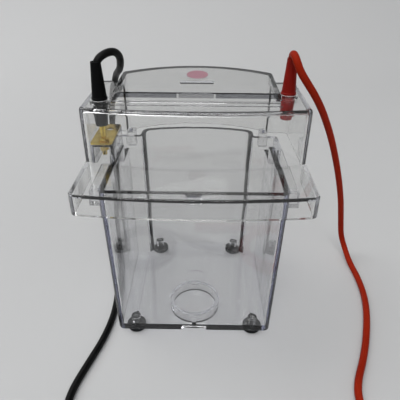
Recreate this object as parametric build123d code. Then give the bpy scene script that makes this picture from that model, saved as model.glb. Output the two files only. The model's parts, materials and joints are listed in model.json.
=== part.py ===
from build123d import *
import math
import os

# Mini gel electrophoresis cell: a clear buffer chamber on rubber feet, a clear safety lid that
# lifts straight off, and two power leads that leave the lid's jacks and end in shrouded plugs.
# Millimetres. The origin is on the bench, under the middle of the lid. +X is to the right,
# +Y is away from the lid's bowed edge, and +Z is up.

# Buffer chamber
RIM_HEIGHT = 116.0
CHAMBER_WALL = 3.5
FLOOR_THICKNESS = 3.5
WALL_DRAFT = 1.0
CHAMBER_HALF_WIDTH = 56.2
CHAMBER_NEAR = 56.5
SHOULDER_FAR = 36.6
SHOULDER_WIDTH = 12.9
RECESS_CORNER_REACH = 12.4
RECESS_MIDDLE_REACH = 18.4
CHAMBER_CORNER_RADIUS = 4.5
SHOULDER_RADIUS = 4.5
RECESS_ROOT_RADIUS = 2.0
RECESS_CORNER_RADIUS = 8.0

# Rim of the chamber: side flange, near tab and ears
FLANGE_REACH = 5.1
FLANGE_THICKNESS = 2.5
FLANGE_TAB_LENGTH = 8.0
FLANGE_TAB_DROP = 7.0
FLANGE_NEAR_SETBACK = 2.0
EAR_LENGTH = 23.1
EAR_DEPTH = 12.0
EAR_FLOOR = 2.5
EAR_CORNER_RADIUS = 2.25
RIM_TAB_WIDTH = 11.5
RIM_TAB_TIP_WIDTH = 7.8
RIM_TAB_REACH = 3.5

# Moulded details on the chamber's floor
RING_OUTER_RADIUS = 18.0
RING_WALL = 2.5
RING_HEIGHT = 7.3
RING_FROM_NEAR_WALL = 19.5
RING_RIB_WIDTH = 3.0
GATE_RADIUS = 8.0
GATE_HEIGHT = 0.6
GATE_Y = -1.0
FLOOR_RIB_INSET = 14.2
FLOOR_RIB_WIDTH = 1.6
FLOOR_RIB_HEIGHT = 1.0
FLOOR_RIB_NEAR_GAP = 11.0
FLOOR_RIB_FAR_GAP = 2.0
LIFT_NOTCH_WIDTH = 17.0
LIFT_NOTCH_HEIGHT = 3.0
LIFT_NOTCH_DEPTH = 1.4

# Rubber feet, each pushed into a blind boss
FOOT_HEIGHT = 4.0
FOOT_RADIUS = 6.6
FOOT_EDGE = 0.8
FOOT_NEAR_INSET = 6.7
FOOT_NEAR_SIDE_INSET = 12.5
FOOT_FAR_SIDE_INSET = 10.3
FOOT_FAR_SETBACK = 12.0
STEM_RADIUS = 1.5
STEM_CLEARANCE = 0.1
STEM_LENGTH = 6.8
BOSS_RADIUS = 3.3
BOSS_HEIGHT = 5.0
BOSS_END_GAP = 0.4

# Lid
LID_WALL = 3.0
SKIRT_DROP = 11.0
LID_NEAR_GAP = 1.4
LID_NEAR_BOW = 4.5
LID_CORNER_RADIUS = 5.0
SHELF_EDGE_RADIUS = 1.2
HOOD_HEIGHT = 39.0
HOOD_NEAR_SIDE_Y = -18.0
HOOD_NEAR_BOW = 9.0
HOOD_NEAR_LEAN = 3.5
HOOD_CORNER_RADIUS = 5.5
HOOD_EDGE_RADIUS = 2.5
HOOD_FAR_GAP = 6.4
BUMP_BOOT_GAP = 0.4
BUMP_CORNER_STEP = 2.5
BUMP_FAR_GAP = 7.4
BUMP_CORNER_RADIUS = 4.0
DECK_SLOPE_START_Y = -0.5
DECK_NEAR_Y = 4.9
DECK_NEAR_RISE = 3.6
DECK_FAR_RISE = 6.5
DECK_EDGE_RADIUS = 1.2
VENT_LENGTH = 24.0
VENT_WIDTH = 4.0
VENT_Y = 26.5
RIDGE_END_GAP = 0.1
RIDGE_WIDTH = 1.8
RIDGE_HEIGHT = 0.5
RIDGE_EDGE_RADIUS = 0.4
RIDGE_YS = (-4.8, -11.0)
LUG_INSET = 5.7
LUG_WIDTH = 6.0
LUG_GAP = 0.6
LUG_TONGUE = 4.0
LUG_DROP = 9.0

# Contact block of the chamber, with its gold-plated plate
BLOCK_REACH = 12.6
BLOCK_LID_GAP = 0.8
BLOCK_WIDTH = 14.8
BLOCK_LENGTH = 35.0
BLOCK_RISE = 13.0
BLOCK_WALL = 2.0
BLOCK_CORNER_RADIUS = 2.0
BLOCK_INNER_RADIUS = 0.5
PLATE_THICKNESS = 1.0
PLATE_EDGE_INSET = 0.3
PIN_FROM_PLATE_END = 5.5
OPENING_FROM_PIN = 20.0
OPENING_RADIUS = 2.5
OPENING_RELIEF = 0.6

# Contact pin and its fasteners
PIN_RADIUS = 1.95
PIN_NECK_RADIUS = 1.6
PIN_LENGTH = 17.0
PIN_END_LENGTH = 2.0
PIN_COLLAR_FLATS = 6.0
PIN_COLLAR_HEIGHT = 2.4
PIN_SHANK_RADIUS = 1.5
PIN_SHANK_LENGTH = 9.5
SHANK_CLEARANCE = 0.15
WASHER_RADIUS = 3.0
WASHER_THICKNESS = 0.6
NUT_FLATS = 5.5
NUT_HEIGHT = 2.4

# Jacks in the lid, in line with the contact pin
JACK_OUTSET = 4.3
JACK_YS = {"black": -7.0, "red": 8.0}
JACK_DROP = 11.0
JACK_TIP_RADIUS = 3.9
JACK_SHOULDER_RADIUS = 4.7
JACK_NECK_RADIUS = 4.1
JACK_HOLE_CLEARANCE = 0.1
JACK_BOSS_RADIUS = 6.4
JACK_BOSS_HEIGHT = 2.5
SPIGOT_RADIUS = 3.3
SPIGOT_HEIGHT = 7.5
CONTACT_BORE_CLEARANCE = 0.15
CONTACT_WALL = 0.8
CONTACT_CLEARANCE = 0.05
CONTACT_LENGTH = 18.0
CONTACT_END = 3.0
CONTACT_SETBACK = 0.5

# Boots on the jacks
BOOT_HEIGHT = 23.0
BOOT_BEAD_RADIUS = 5.0
BOOT_BEAD_HEIGHT = 1.6
BOOT_BEAD_BEVEL = 0.4
BOOT_BASE_RADIUS = 4.6
BOOT_TOP_RADIUS = 3.1
BOOT_CLEARANCE = 0.05
LEAD_DEPTH = {"black": 7.0, "red": 5.9}
LEAD_BEND_DEPTH = {"black": 2.2, "red": 2.7}

# Leads: PVC power leads, the same along their whole length
LEAD_DIAMETER = 4.8
LEAD_FIT = 0.05
ARC_RUN_SHARE = 0.45
COIL_INNER_TURN = {"black": 22.8, "red": 26.4}
COIL_ENTRY = 28.0
COIL_EXIT = 24.0
COIL_CENTRE_Y = -146.0
COIL_SHAPE_CHAMFER = 1.2
COIL_ENTRY_X = {"black": -75.0, "red": 103.0}
COIL_APPROACH = {"black": 15.0, "red": 19.0}
COIL_SIDE = {"black": -1, "red": 1}
COIL_EXIT_HEADING = {"black": 25.0, "red": 180.0}

# Shrouded plugs at the far ends of the leads
PLUG_RADIUS = 5.0
PLUG_BEVEL = 0.6
PLUG_BODY_LENGTH = 22.0
PLUG_RELIEF_LENGTH = 10.0
PLUG_RELIEF_TIP = 2.9
PLUG_RELIEF_ROOT = 4.1
PLUG_SHROUD_LENGTH = 18.0
PLUG_SHROUD_RADIUS = 4.6
PLUG_SHROUD_BORE = 3.7
PLUG_PIN_RADIUS = 2.0
PLUG_PIN_LENGTH = 17.0
PLUG_PIN_TIP = 1.5
PLUG_PIN_SEAT = 6.0
PLUG_GRIP_START = 5.0
PLUG_GRIP_GROOVES = 4
PLUG_GRIP_PITCH = 3.0
PLUG_GRIP_DEPTH = 0.5

# How far a cut runs past a face, and a joined solid runs into its neighbour
OVERRUN = 1.0

# Places that follow from the sizes above
LID_TOP_FACE = RIM_HEIGHT + LID_WALL
RECESS_HALF_WIDTH = CHAMBER_HALF_WIDTH - SHOULDER_WIDTH
FLANGE_X = CHAMBER_HALF_WIDTH + FLANGE_REACH
EAR_NEAR_Y = SHOULDER_FAR - EAR_LENGTH
JACK_X = CHAMBER_HALF_WIDTH + JACK_OUTSET
BUMP_HALF_WIDTH = JACK_X - BOOT_BEAD_RADIUS - BUMP_BOOT_GAP
CONTACT_BORE_RADIUS = PIN_RADIUS + CONTACT_BORE_CLEARANCE
LUG_X = CHAMBER_HALF_WIDTH - LUG_INSET
BLOCK_OUTER_X = CHAMBER_HALF_WIDTH + BLOCK_REACH
LID_HALF_WIDTH = BLOCK_OUTER_X + BLOCK_LID_GAP + LID_WALL
LID_NEAR = CHAMBER_NEAR + LID_NEAR_GAP + LID_WALL
HOOD_TOP = RIM_HEIGHT + HOOD_HEIGHT
HOOD_FAR = SHOULDER_FAR + HOOD_FAR_GAP + LID_WALL
BUMP_CORNER_Y = HOOD_FAR + BUMP_CORNER_STEP
BUMP_MIDDLE_Y = SHOULDER_FAR + RECESS_MIDDLE_REACH + BUMP_FAR_GAP + LID_WALL
FLOOR_TOP = FOOT_HEIGHT + FLOOR_THICKNESS
BLOCK_TOP = RIM_HEIGHT + BLOCK_RISE
BOSS_TOP = HOOD_TOP + JACK_BOSS_HEIGHT
BOOT_TOP = BOSS_TOP + BOOT_HEIGHT
LEAD_RADIUS = LEAD_DIAMETER / 2
COIL_MOUTH_Y = COIL_CENTRE_Y + COIL_ENTRY
CHAMBER_FLOOR_SHIFT = (RIM_HEIGHT - FOOT_HEIGHT) * math.tan(math.radians(WALL_DRAFT))

# Routes of the leads from above their boots to near their coils, as points chosen by hand
BLACK_ROUTE = [
    (-58.9, -5.8, 181.8),
    (-55.8, -3.2, 184.0),
    (-52.2, 0.8, 184.8),
    (-49.7, 5.6, 183.2),
    (-48.9, 11.0, 178.9),
    (-50.2, 17.5, 173.6),
    (-53.0, 27.5, 167.6),
    (-57.0, 40.0, 162.8),
    (-61.2, 53.0, 157.6),
    (-65.6, 61.0, 145.5),
    (-69.3, 63.7, 126.0),
    (-72.5, 64.5, 98.0),
    (-75.0, 64.0, 62.0),
    (-76.5, 61.0, 32.0),
    (-75.5, 52.0, 10.5),
    (-71.5, 33.5, LEAD_RADIUS),
    (-66.5, 13.0, LEAD_RADIUS),
    (-62.0, -12.0, LEAD_RADIUS),
    (-60.2, -38.0, LEAD_RADIUS),
    (-63.2, -62.0, LEAD_RADIUS),
    (-69.4, -83.0, LEAD_RADIUS),
]
RED_ROUTE = [
    (60.0, 6.9, 181.6),
    (59.7, 3.4, 184.0),
    (60.1, -0.9, 183.6),
    (61.3, -4.1, 180.4),
    (63.6, -5.0, 175.4),
    (68.6, -3.9, 168.6),
    (75.8, -0.8, 159.4),
    (84.8, 5.4, 145.6),
    (96.6, 14.8, 122.8),
    (108.9, 24.8, 92.6),
    (119.4, 34.6, 61.8),
    (126.0, 41.6, 34.6),
    (129.4, 43.6, 18.9),
    (133.2, 37.6, 8.3),
    (135.0, 26.0, LEAD_RADIUS),
    (136.4, 4.0, LEAD_RADIUS),
    (134.6, -20.0, LEAD_RADIUS),
    (127.4, -46.0, LEAD_RADIUS),
    (116.4, -74.0, LEAD_RADIUS),
]


def block(x, y, z):
    """A box between two values on each axis."""
    size = [high - low for low, high in (x, y, z)]
    middle = [(high + low) / 2 for low, high in (x, y, z)]
    return Pos(*middle) * Box(*size)


def turned(points):
    """A solid of revolution about Z, from its outline as (radius, height) points."""
    outline = make_face(Polyline(*[(r, 0, z) for r, z in points], close=True))
    return revolve(outline, Axis.Z)


def disc(x, y, low, high, radius):
    """An upright cylinder between two heights."""
    return Pos(x, y, low) * extrude(Circle(radius), high - low)


def hexagon(x, y, low, high, flats):
    """An upright hexagonal prism, by its width across flats."""
    outline = RegularPolygon(flats / 2, 6, major_radius=False)
    return Pos(x, y, low) * extrude(outline, high - low)


def rounded(face, corners):
    """Round the vertices of a flat face. Each corner is (x, y, radius)."""
    for x, y, radius in corners:
        nearest = min(face.vertices(), key=lambda v: math.hypot(v.X - x, v.Y - y))
        face = fillet(nearest, radius)
    return face


def chamber_plan(height, inset):
    """The chamber's outline at a height, moved inwards by inset."""
    shift = inset + (RIM_HEIGHT - height) * math.tan(math.radians(WALL_DRAFT))
    side = CHAMBER_HALF_WIDTH - shift
    near = -CHAMBER_NEAR + shift
    shoulder = SHOULDER_FAR - shift
    recess = RECESS_HALF_WIDTH - shift
    corner = SHOULDER_FAR + RECESS_CORNER_REACH - shift
    middle = SHOULDER_FAR + RECESS_MIDDLE_REACH - shift
    outline = Curve() + [
        Line((-side, near), (side, near)),
        Line((side, near), (side, shoulder)),
        Line((side, shoulder), (recess, shoulder)),
        Line((recess, shoulder), (recess, corner)),
        ThreePointArc((recess, corner), (0, middle), (-recess, corner)),
        Line((-recess, corner), (-recess, shoulder)),
        Line((-recess, shoulder), (-side, shoulder)),
        Line((-side, shoulder), (-side, near)),
    ]
    face = make_face(outline)
    corners = []
    for sign in (-1, 1):
        corners.append((sign * side, near, CHAMBER_CORNER_RADIUS - inset))
        corners.append((sign * side, shoulder, SHOULDER_RADIUS - inset))
        corners.append((sign * recess, shoulder, RECESS_ROOT_RADIUS + inset))
        corners.append((sign * recess, corner, RECESS_CORNER_RADIUS - inset))
    return rounded(face, corners)


def chamber_prism(low, high, inset):
    """The chamber's drafted outline as a solid between two heights."""
    sections = [Pos(0, 0, z) * chamber_plan(z, inset) for z in (low, high)]
    return loft(sections, ruled=True)


def foot_places():
    """Name and place of each foot."""
    near_y = -CHAMBER_NEAR + CHAMBER_FLOOR_SHIFT + FOOT_NEAR_INSET
    far_y = SHOULDER_FAR + RECESS_MIDDLE_REACH - FOOT_FAR_SETBACK
    near_x = CHAMBER_HALF_WIDTH - CHAMBER_FLOOR_SHIFT - FOOT_NEAR_SIDE_INSET
    far_x = RECESS_HALF_WIDTH - FOOT_FAR_SIDE_INSET
    return {
        "foot_near_left": (-near_x, near_y),
        "foot_near_right": (near_x, near_y),
        "foot_far_left": (-far_x, far_y),
        "foot_far_right": (far_x, far_y),
    }


def jack_place(name):
    """Place of a jack's axis: the black one on the left, over the contact pin."""
    return (JACK_X if name == "red" else -JACK_X), JACK_YS[name]


def contact_places():
    """The contact block's Y range, and the Y of its pin and of its opening."""
    pin_y = JACK_YS["black"]
    near = pin_y - PIN_FROM_PLATE_END
    return near, near + BLOCK_LENGTH, pin_y, pin_y + OPENING_FROM_PIN


def side_flange(sign):
    """One side's rim flange with its near tab and its ear."""
    near = -CHAMBER_NEAR + FLANGE_NEAR_SETBACK
    root = CHAMBER_HALF_WIDTH - CHAMBER_WALL / 2
    across = sorted((sign * root, sign * FLANGE_X))
    under = RIM_HEIGHT - FLANGE_THICKNESS
    strip = block(across, (near, EAR_NEAR_Y + OVERRUN), (under, RIM_HEIGHT))
    tab = block(
        across,
        (near, near + FLANGE_TAB_LENGTH),
        (RIM_HEIGHT - FLANGE_TAB_DROP, RIM_HEIGHT),
    )
    ear = block(across, (EAR_NEAR_Y, SHOULDER_FAR), (RIM_HEIGHT - EAR_DEPTH, RIM_HEIGHT))
    edges = ear.edges().filter_by(Axis.Z)
    outer = [edge for edge in edges if abs(edge.center().X) > root + OVERRUN]
    return strip + tab + fillet(outer, EAR_CORNER_RADIUS)


def ear_pocket(sign):
    """The hollow of one ear, open to the chamber."""
    outer = FLANGE_X - CHAMBER_WALL
    across = sorted((sign * (CHAMBER_HALF_WIDTH - 2 * CHAMBER_WALL), sign * outer))
    return block(
        across,
        (EAR_NEAR_Y + CHAMBER_WALL, SHOULDER_FAR - CHAMBER_WALL),
        (RIM_HEIGHT - EAR_DEPTH + EAR_FLOOR, RIM_HEIGHT + OVERRUN),
    )


def contact_block(grow, top):
    """The contact block's outline from under the flange to a top height."""
    near, far, _, _ = contact_places()
    outline = block(
        (-BLOCK_OUTER_X - grow, -BLOCK_OUTER_X + BLOCK_WIDTH + grow),
        (near - grow, far + grow),
        (RIM_HEIGHT - FLANGE_THICKNESS, top),
    )
    radius = max(BLOCK_CORNER_RADIUS + grow, BLOCK_INNER_RADIUS)
    return fillet(outline.edges().filter_by(Axis.Z), radius)


def make_buffer_chamber():
    """The clear chamber: drafted walls, far recess, ears, contact block and floor details."""
    body = chamber_prism(FOOT_HEIGHT, RIM_HEIGHT, 0)
    for sign in (-1, 1):
        body += side_flange(sign)
    rim_tab = make_face(
        Polyline(
            (-RIM_TAB_WIDTH / 2, -CHAMBER_NEAR + OVERRUN),
            (-RIM_TAB_TIP_WIDTH / 2, -CHAMBER_NEAR - RIM_TAB_REACH),
            (RIM_TAB_TIP_WIDTH / 2, -CHAMBER_NEAR - RIM_TAB_REACH),
            (RIM_TAB_WIDTH / 2, -CHAMBER_NEAR + OVERRUN),
            close=True,
        )
    )
    body += Pos(0, 0, RIM_HEIGHT - FLANGE_THICKNESS) * extrude(rim_tab, FLANGE_THICKNESS)
    body -= chamber_prism(FLOOR_TOP, RIM_HEIGHT + OVERRUN, CHAMBER_WALL)
    for sign in (-1, 1):
        body -= ear_pocket(sign)

    _, _, pin_y, opening_y = contact_places()
    body += contact_block(0, BLOCK_TOP)
    body -= contact_block(-BLOCK_WALL, BLOCK_TOP - BLOCK_WALL)
    for y, radius in (
        (pin_y, PIN_SHANK_RADIUS + SHANK_CLEARANCE),
        (opening_y, OPENING_RADIUS + OPENING_RELIEF),
    ):
        body -= disc(-JACK_X, y, BLOCK_TOP - BLOCK_WALL - OVERRUN, BLOCK_TOP + OVERRUN, radius)

    near_wall = -CHAMBER_NEAR + CHAMBER_FLOOR_SHIFT + CHAMBER_WALL
    ring_y = near_wall + RING_FROM_NEAR_WALL
    ring_top = FLOOR_TOP + RING_HEIGHT
    root = FLOOR_TOP - OVERRUN
    ring = disc(0, ring_y, root, ring_top, RING_OUTER_RADIUS)
    ring -= disc(0, ring_y, root, ring_top + OVERRUN, RING_OUTER_RADIUS - RING_WALL)
    rib = block(
        (-RING_RIB_WIDTH / 2, RING_RIB_WIDTH / 2),
        (near_wall - OVERRUN, ring_y - RING_OUTER_RADIUS + RING_WALL / 2),
        (root, ring_top - RING_WALL),
    )
    body += ring
    body += rib
    body += disc(0, GATE_Y, root, FLOOR_TOP + GATE_HEIGHT, GATE_RADIUS)
    shoulder_wall = SHOULDER_FAR - CHAMBER_FLOOR_SHIFT - CHAMBER_WALL
    along = (near_wall + FLOOR_RIB_NEAR_GAP, shoulder_wall - FLOOR_RIB_FAR_GAP)
    for sign in (-1, 1):
        rib_x = sign * (CHAMBER_HALF_WIDTH - FLOOR_RIB_INSET)
        across = (rib_x - FLOOR_RIB_WIDTH / 2, rib_x + FLOOR_RIB_WIDTH / 2)
        body += block(across, along, (root, FLOOR_TOP + FLOOR_RIB_HEIGHT))

    for x, y in foot_places().values():
        body += disc(x, y, root, FLOOR_TOP + BOSS_HEIGHT, BOSS_RADIUS)
        hole_top = FOOT_HEIGHT + STEM_LENGTH + BOSS_END_GAP
        body -= disc(x, y, FOOT_HEIGHT - OVERRUN, hole_top, STEM_RADIUS + STEM_CLEARANCE)

    near_face = -CHAMBER_NEAR + CHAMBER_FLOOR_SHIFT
    body -= block(
        (-LIFT_NOTCH_WIDTH / 2, LIFT_NOTCH_WIDTH / 2),
        (near_face - OVERRUN, near_face + LIFT_NOTCH_DEPTH),
        (FOOT_HEIGHT - OVERRUN, FOOT_HEIGHT + LIFT_NOTCH_HEIGHT),
    )
    return body


def make_foot(x, y):
    """A rubber foot with its push-in stem."""
    foot = turned(
        [
            (0, 0),
            (FOOT_RADIUS - FOOT_EDGE, 0),
            (FOOT_RADIUS, FOOT_EDGE),
            (FOOT_RADIUS, FOOT_HEIGHT),
            (STEM_RADIUS, FOOT_HEIGHT),
            (STEM_RADIUS, FOOT_HEIGHT + STEM_LENGTH),
            (0, FOOT_HEIGHT + STEM_LENGTH),
        ]
    )
    return Pos(x, y, 0) * foot


def make_contact_plate():
    """The gold-plated plate on the contact block, with holes for its pin and the core's post."""
    near, far, pin_y, opening_y = contact_places()
    plate = block(
        (-BLOCK_OUTER_X + PLATE_EDGE_INSET, -BLOCK_OUTER_X + BLOCK_WIDTH - PLATE_EDGE_INSET),
        (near + PLATE_EDGE_INSET, far - PLATE_EDGE_INSET),
        (BLOCK_TOP, BLOCK_TOP + PLATE_THICKNESS),
    )
    plate = fillet(plate.edges().filter_by(Axis.Z), BLOCK_CORNER_RADIUS - PLATE_EDGE_INSET)
    shank_hole = PIN_SHANK_RADIUS + SHANK_CLEARANCE
    for y, radius in ((pin_y, shank_hole), (opening_y, OPENING_RADIUS)):
        plate -= disc(-JACK_X, y, BLOCK_TOP - OVERRUN, BLOCK_TOP + PLATE_THICKNESS + OVERRUN, radius)
    return plate


def make_contact_pin():
    """The plug pin: threaded shank, hexagonal collar and a bellied spring shaft."""
    _, _, pin_y, _ = contact_places()
    seat = BLOCK_TOP + PLATE_THICKNESS
    collar_top = seat + PIN_COLLAR_HEIGHT
    tip = collar_top + PIN_LENGTH
    belly = collar_top + PIN_LENGTH / 2
    root = (PIN_NECK_RADIUS, 0, collar_top - OVERRUN)
    neck_low = (PIN_NECK_RADIUS, 0, collar_top + PIN_END_LENGTH)
    neck_high = (PIN_NECK_RADIUS, 0, tip - PIN_END_LENGTH)
    point = (PIN_NECK_RADIUS / 2, 0, tip)
    outline = Curve() + [
        Line((0, 0, collar_top - OVERRUN), root),
        Line(root, neck_low),
        ThreePointArc(neck_low, (PIN_RADIUS, 0, belly), neck_high),
        Line(neck_high, point),
        Line(point, (0, 0, tip)),
        Line((0, 0, tip), (0, 0, collar_top - OVERRUN)),
    ]
    shaft = Pos(-JACK_X, pin_y, 0) * revolve(make_face(outline), Axis.Z)
    collar = hexagon(-JACK_X, pin_y, seat, collar_top, PIN_COLLAR_FLATS)
    shank = disc(-JACK_X, pin_y, seat - PIN_SHANK_LENGTH, seat + OVERRUN, PIN_SHANK_RADIUS)
    return shaft + collar + shank


def make_contact_washer():
    """The washer under the block's top wall."""
    _, _, pin_y, _ = contact_places()
    top = BLOCK_TOP - BLOCK_WALL
    under = top - WASHER_THICKNESS
    washer = disc(-JACK_X, pin_y, under, top, WASHER_RADIUS)
    hole_radius = PIN_SHANK_RADIUS + SHANK_CLEARANCE
    return washer - disc(-JACK_X, pin_y, under - OVERRUN, top + OVERRUN, hole_radius)


def make_contact_nut():
    """The nut that pulls the pin and the plate down onto the block."""
    _, _, pin_y, _ = contact_places()
    top = BLOCK_TOP - BLOCK_WALL - WASHER_THICKNESS
    under = top - NUT_HEIGHT
    nut = hexagon(-JACK_X, pin_y, under, top, NUT_FLATS)
    hole_radius = PIN_SHANK_RADIUS + CONTACT_CLEARANCE
    return nut - disc(-JACK_X, pin_y, under - OVERRUN, top + OVERRUN, hole_radius)


def hood_plan(inset, lean):
    """The hood's outline without its far bump; lean moves the near wall's middle back."""
    side = LID_HALF_WIDTH - inset
    near = HOOD_NEAR_SIDE_Y + inset
    middle = near - HOOD_NEAR_BOW + lean
    far = HOOD_FAR - inset
    outline = Curve() + [
        ThreePointArc((-side, near), (0, middle), (side, near)),
        Line((side, near), (side, far)),
        Line((side, far), (-side, far)),
        Line((-side, far), (-side, near)),
    ]
    radius = HOOD_CORNER_RADIUS - inset
    corners = [(sign * side, y, radius) for sign in (-1, 1) for y in (near, far)]
    return rounded(make_face(outline), corners)


def hood_prism(low, high, inset, edge):
    """The hood as a solid with a leaning near wall and rounded top edges."""
    sections = []
    for z in (low, high):
        lean = HOOD_NEAR_LEAN * (z - RIM_HEIGHT) / HOOD_HEIGHT
        sections.append(Pos(0, 0, z) * hood_plan(inset, lean))
    body = loft(sections, ruled=True)
    return fillet(body.faces().sort_by(Axis.Z)[-1].edges(), edge)


def deck_prism(low, inset, edge):
    """The far bump and the raised deck above it, with a sloped near face and a tilted top."""
    side = BUMP_HALF_WIDTH - inset
    corner = BUMP_CORNER_Y - inset
    middle = BUMP_MIDDLE_Y - inset
    near = DECK_SLOPE_START_Y + inset
    outline = Curve() + [
        Line((-side, near), (side, near)),
        Line((side, near), (side, corner)),
        ThreePointArc((side, corner), (0, middle), (-side, corner)),
        Line((-side, corner), (-side, near)),
    ]
    corners = [(sign * side, corner, BUMP_CORNER_RADIUS - inset) for sign in (-1, 1)]
    plan = rounded(make_face(outline), corners)
    top = HOOD_TOP + DECK_FAR_RISE
    column = Pos(0, 0, low) * extrude(plan, top - low + OVERRUN)
    slope = Polyline(
        (0, near, low),
        (0, near, HOOD_TOP - inset),
        (0, DECK_NEAR_Y + inset, HOOD_TOP + DECK_NEAR_RISE - inset),
        (0, BUMP_MIDDLE_Y + OVERRUN, top - inset),
        (0, BUMP_MIDDLE_Y + OVERRUN, low),
        close=True,
    )
    profile = extrude(make_face(slope), amount=side + OVERRUN, dir=(1, 0, 0), both=True)
    body = column & profile
    return fillet(body.faces().sort_by(Axis.Z)[-1].edges(), edge)


def shelf_prism(low, high, inset):
    """The lid's near part: a bowed shelf that runs under the hood's near wall."""
    side = LID_HALF_WIDTH - inset
    near = -LID_NEAR + inset
    far = HOOD_NEAR_SIDE_Y
    outline = Curve() + [
        ThreePointArc((-side, near), (0, near - LID_NEAR_BOW), (side, near)),
        Line((side, near), (side, far)),
        Line((side, far), (-side, far)),
        Line((-side, far), (-side, near)),
    ]
    corners = [(sign * side, near, LID_CORNER_RADIUS - inset) for sign in (-1, 1)]
    plan = rounded(make_face(outline), corners)
    return Pos(0, 0, low) * extrude(plan, high - low)


def locating_lug(sign):
    """A lug of the hood's far wall that sits on the chamber's shoulder and hooks behind it."""
    across = (sign * LUG_X - LUG_WIDTH / 2, sign * LUG_X + LUG_WIDTH / 2)
    wall = HOOD_FAR - LID_WALL / 2
    leg_near = SHOULDER_FAR + LUG_GAP
    leg = block(across, (leg_near, wall), (RIM_HEIGHT - LUG_DROP, LID_TOP_FACE))
    tongue = block(across, (leg_near - LUG_TONGUE, wall), (RIM_HEIGHT, LID_TOP_FACE))
    return leg + tongue


def make_lid_shell():
    """The clear lid: bowed shelf with its skirt, hood, bump and deck, in one moulding."""
    shelf = shelf_prism(RIM_HEIGHT - SKIRT_DROP, LID_TOP_FACE, 0)
    rim = shelf.faces().sort_by(Axis.Z)[-1].edges()
    rim = [edge for edge in rim if edge.center().Y < HOOD_NEAR_SIDE_Y - OVERRUN]
    shelf = fillet(rim, SHELF_EDGE_RADIUS)
    shelf -= shelf_prism(RIM_HEIGHT - SKIRT_DROP - OVERRUN, RIM_HEIGHT, LID_WALL)
    body = shelf + hood_prism(RIM_HEIGHT, HOOD_TOP, 0, HOOD_EDGE_RADIUS)
    body += deck_prism(RIM_HEIGHT, 0, DECK_EDGE_RADIUS)
    inner_top = HOOD_TOP - LID_WALL
    body -= hood_prism(RIM_HEIGHT - OVERRUN, inner_top, LID_WALL, HOOD_EDGE_RADIUS / 2)
    body -= deck_prism(RIM_HEIGHT - OVERRUN, LID_WALL, DECK_EDGE_RADIUS / 2)
    for sign in (-1, 1):
        body += locating_lug(sign)

    for name in JACK_YS:
        x, y = jack_place(name)
        hole_radius = JACK_NECK_RADIUS + JACK_HOLE_CLEARANCE
        body += disc(x, y, inner_top + OVERRUN, BOSS_TOP, JACK_BOSS_RADIUS)
        body -= disc(x, y, inner_top - OVERRUN, BOSS_TOP + OVERRUN, hole_radius)
    ridge_half = JACK_X - JACK_BOSS_RADIUS - RIDGE_END_GAP
    for y in RIDGE_YS:
        rib = Pos(0, y, HOOD_TOP) * Box(2 * ridge_half, RIDGE_WIDTH, 2 * RIDGE_HEIGHT)
        body += fillet(rib.edges().filter_by(Axis.X), RIDGE_EDGE_RADIUS)
    vent = extrude(SlotOverall(VENT_LENGTH, VENT_WIDTH), LID_WALL + DECK_FAR_RISE + OVERRUN)
    body -= Pos(0, VENT_Y, inner_top) * vent
    return body


def make_jack_body(x, y):
    """The moulded socket body: a tapered nose under the hood and a spigot for the boot."""
    under = HOOD_TOP - LID_WALL
    nose = under - JACK_DROP
    spigot_top = BOSS_TOP + SPIGOT_HEIGHT
    bore = CONTACT_BORE_RADIUS + CONTACT_WALL + CONTACT_CLEARANCE
    contact_top = nose + CONTACT_SETBACK + CONTACT_LENGTH
    body = turned(
        [
            (bore, nose),
            (JACK_TIP_RADIUS, nose),
            (JACK_SHOULDER_RADIUS, under),
            (JACK_NECK_RADIUS, under),
            (JACK_NECK_RADIUS, BOSS_TOP),
            (SPIGOT_RADIUS, BOSS_TOP),
            (SPIGOT_RADIUS, spigot_top),
            (0, spigot_top),
            (0, contact_top),
            (bore, contact_top),
        ]
    )
    return Pos(x, y, 0) * body


def make_jack_contact(x, y):
    """The sprung brass sleeve that takes a 4 mm pin."""
    low = HOOD_TOP - LID_WALL - JACK_DROP + CONTACT_SETBACK
    high = low + CONTACT_LENGTH
    outer = CONTACT_BORE_RADIUS + CONTACT_WALL
    sleeve = turned(
        [
            (CONTACT_BORE_RADIUS, low),
            (outer, low),
            (outer, high),
            (0, high),
            (0, high - CONTACT_END),
            (CONTACT_BORE_RADIUS, high - CONTACT_END),
        ]
    )
    return Pos(x, y, 0) * sleeve


def make_boot(name, x, y):
    """The tapered boot over the jack's spigot and the end of the lead."""
    shoulder = BOSS_TOP + BOOT_BEAD_HEIGHT
    pocket = SPIGOT_RADIUS + BOOT_CLEARANCE
    spigot_top = BOSS_TOP + SPIGOT_HEIGHT
    bore = LEAD_RADIUS + LEAD_FIT
    lead_end = BOOT_TOP - LEAD_DEPTH[name]
    boot = turned(
        [
            (pocket, BOSS_TOP),
            (BOOT_BEAD_RADIUS, BOSS_TOP),
            (BOOT_BEAD_RADIUS, shoulder - BOOT_BEAD_BEVEL),
            (BOOT_BASE_RADIUS, shoulder),
            (BOOT_TOP_RADIUS, BOOT_TOP),
            (bore, BOOT_TOP),
            (bore, lead_end),
            (0, lead_end),
            (0, spigot_top),
            (pocket, spigot_top),
        ]
    )
    return Pos(x, y, 0) * boot


def coil_outer_turn(name):
    """Radius of the coil's outer turn, beside its inner one."""
    return COIL_INNER_TURN[name] + LEAD_DIAMETER


def coil_centre(name):
    """The coil's centre on the bench. The lead runs straight onto the outer turn."""
    return COIL_ENTRY_X[name] - COIL_SIDE[name] * coil_outer_turn(name), COIL_CENTRE_Y


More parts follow.
